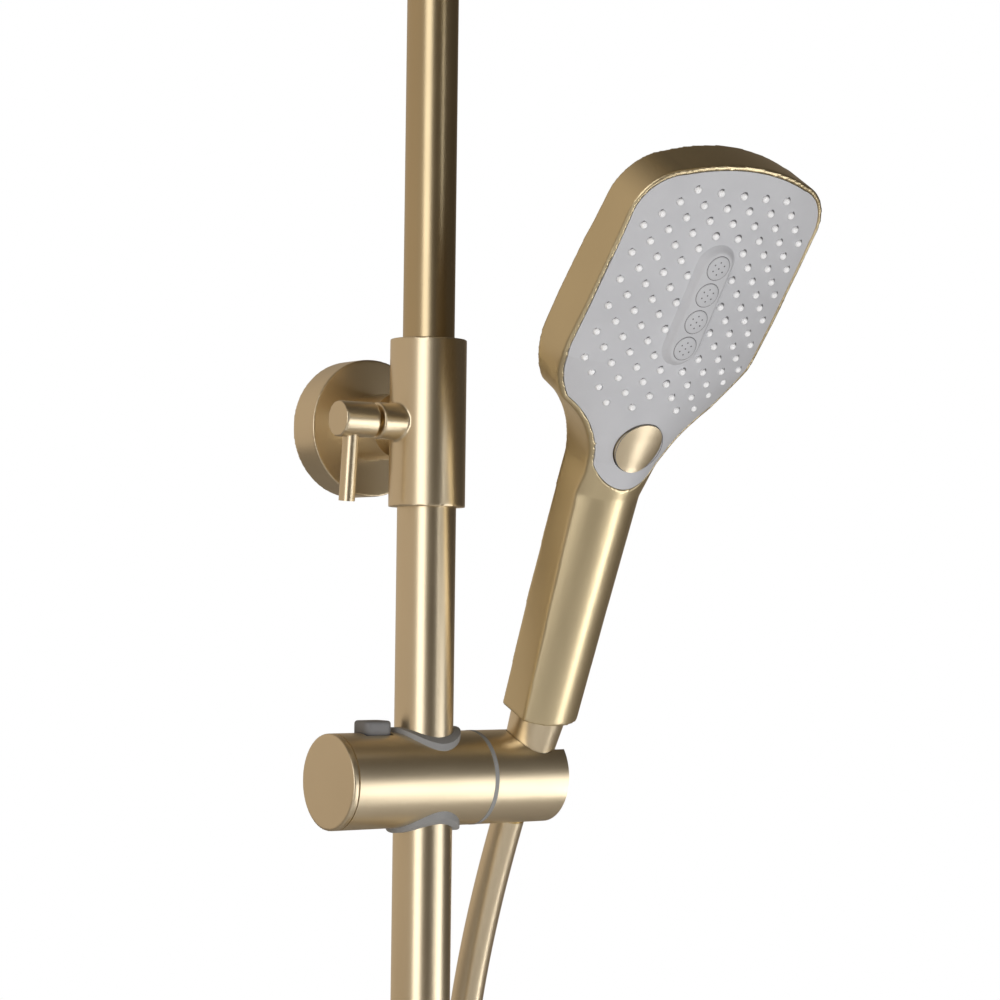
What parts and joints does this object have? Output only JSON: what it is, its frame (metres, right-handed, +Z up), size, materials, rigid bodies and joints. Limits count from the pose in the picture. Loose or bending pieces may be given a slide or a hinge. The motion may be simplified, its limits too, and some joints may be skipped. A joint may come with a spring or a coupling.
{
  "type": "rainfall shower column",
  "caption": "Wall shower column: telescopic riser with an overhead rain head, clamp bracket, sliding tilting holder, handset on a hose, and a lower bracket with a diverter.",
  "frame": {"origin": "centre of the upper wall plate's back face, on the wall", "axes": "+Z up along the column, +Y into the wall, +X to the right for someone facing the wall"},
  "size_m": [0.2596, 0.525, 1.4579],
  "materials": {
    "gold_metal": "satin champagne-gold plating",
    "gold_tube": "satin champagne-gold plating, drawn tube",
    "gold_plastic": "satin champagne-gold plating on moulded plastic",
    "rain_face_metal": "satin champagne-gold plating",
    "bare_brass": "turned, unplated",
    "steel": "turned or wound",
    "grey_cover": "fine matt",
    "pale_silicone": "soft silicone",
    "grey_button": "matt",
    "grey_gasket": "soft matt",
    "black_rubber": "sealing rubber",
    "nylon": "natural nylon",
    "gold_hose": "smooth metallised plastic sheath"
  },
  "bodies": {
    "column": {"wall_plate_upper": "steel", "wall_flange_upper": "gold_metal", "bracket_neck_upper": "gold_metal", "bracket_grub_screw": "steel", "clamp_sleeve": "gold_metal", "guide_bush": "nylon", "column_tube": "gold_tube", "diverter_body": "gold_metal", "inlet_neck_lower": "gold_metal", "wall_flange_lower": "gold_metal", "inlet_nut": "gold_metal", "inlet_washer": "black_rubber", "hose_outlet_nipple": "bare_brass", "outlet_washer": "black_rubber", "hose_outlet_nut": "gold_metal", "hose_tail_lower": "bare_brass", "hose": "gold_hose"},
    "clamp_pad": {"clamp_shoe": "nylon"},
    "clamp_lever": {"clamp_screw": "bare_brass", "clamp_lever_head": "gold_metal", "clamp_lever_pin": "gold_metal"},
    "diverter_lever": {"diverter_spool": "bare_brass", "diverter_stem": "bare_brass", "diverter_lever_head": "gold_metal", "diverter_lever_pin": "gold_metal"},
    "riser_carriage": {"riser_piston": "bare_brass", "piston_o_rings": "black_rubber"},
    "overhead_arm": {"riser_tube": "gold_tube", "arm_outlet_nipple": "bare_brass", "filter_washer": "black_rubber", "ball_nut": "gold_metal"},
    "ball_seat": {"ball_seat_cup": "nylon"},
    "rain_head": {"swivel_ball": "bare_brass", "rain_head_cover": "rain_face_metal", "rain_head_plate": "rain_face_metal", "rain_nozzles": "pale_silicone"},
    "slider": {"slider_body": "gold_plastic", "slider_end_cap": "gold_plastic", "tube_gasket_top": "grey_gasket", "tube_gasket_bottom": "grey_gasket", "brake_spring": "steel", "button_spring": "steel", "swivel_ring": "grey_gasket", "wave_washer": "steel", "swivel_axle": "steel"},
    "slider_push_button": {"slider_button": "grey_button"},
    "brake": {"brake_block": "nylon"},
    "holder": {"handset_holder": "gold_plastic"},
    "hose_connector": {"cone_nut": "gold_metal", "hose_tail_upper": "bare_brass", "hose_washer": "black_rubber"},
    "handset": {"handset_shell": "gold_plastic", "handset_face_cover": "grey_cover", "spray_nozzles": "pale_silicone", "jet_discs": "pale_silicone", "spray_select_valve": "nylon", "spray_select_spring": "steel", "handset_inlet_nipple": "nylon"},
    "select_button": {"spray_select_button": "gold_plastic"}
  },
  "joints": [
    {"name": "clamp_lever_turn", "type": "hinge", "parent": "column", "child": "clamp_lever", "pos_m": [-0.03, -0.06, 0], "axis": [1, 0, 0], "range_deg": [0, 180]},
    {"name": "clamp_pad_slide", "type": "slide", "parent": "column", "child": "clamp_pad", "axis": [-1, 0, 0], "range_m": [0, 0.0005]},
    {"name": "diverter_turn", "type": "hinge", "parent": "column", "child": "diverter_lever", "pos_m": [-0.03, -0.06, -0.7], "axis": [1, 0, 0], "range_deg": [-90, 90]},
    {"name": "riser_height", "type": "slide", "parent": "column", "child": "riser_carriage", "axis": [0, 0, 1], "range_m": [-0.1, 0.2]},
    {"name": "arm_swing", "type": "hinge", "parent": "riser_carriage", "child": "overhead_arm", "pos_m": [0, -0.06, 0], "axis": [0, 0, 1], "range_deg": [-40, 40]},
    {"name": "head_tilt", "type": "hinge", "parent": "overhead_arm", "child": "ball_seat", "pos_m": [0, -0.4, 0.316], "axis": [1, 0, 0], "range_deg": [-12, 12]},
    {"name": "head_lean", "type": "hinge", "parent": "ball_seat", "child": "rain_head", "pos_m": [0, -0.4, 0.316], "axis": [0, 1, 0], "range_deg": [-12, 12]},
    {"name": "slider_height", "type": "slide", "parent": "column", "child": "slider", "axis": [0, 0, 1], "range_m": [-0.48, 0.08], "deforming": ["hose"]},
    {"name": "slider_button_press", "type": "slide", "parent": "slider", "child": "slider_push_button", "axis": [0, 0, -1], "range_m": [0, 0.003], "stiffness_N_per_m": 700, "springref_m": -0.004, "deforming": ["button_spring"]},
    {"name": "brake_release", "type": "slide", "parent": "slider", "child": "brake", "axis": [-1, 0, 0], "range_m": [0, 0.0015]},
    {"name": "holder_tilt", "type": "hinge", "parent": "slider", "child": "holder", "pos_m": [0.051, -0.06, -0.15], "axis": [1, 0, 0], "range_deg": [-6, 40]},
    {"name": "handset_lift", "type": "slide", "parent": "holder", "child": "hose_connector", "axis": [0, -0.4147, 0.91], "range_m": [0, 0.045]},
    {"name": "handset_turn", "type": "hinge", "parent": "hose_connector", "child": "handset", "pos_m": [0.051, -0.06, -0.15], "axis": [0, -0.4147, 0.91], "range_deg": [-30, 30]},
    {"name": "select_button_press", "type": "slide", "parent": "handset", "child": "select_button", "axis": [0, 0.8339, 0.5519], "range_m": [0, 0.0025], "stiffness_N_per_m": 700, "springref_m": -0.002}
  ],
  "couplings": [
    {"joint": "clamp_pad_slide", "follows": "clamp_lever_turn", "m_per_rad": 0.000159},
    {"joint": "brake_release", "follows": "slider_button_press", "ratio": 0.5}
  ]
}
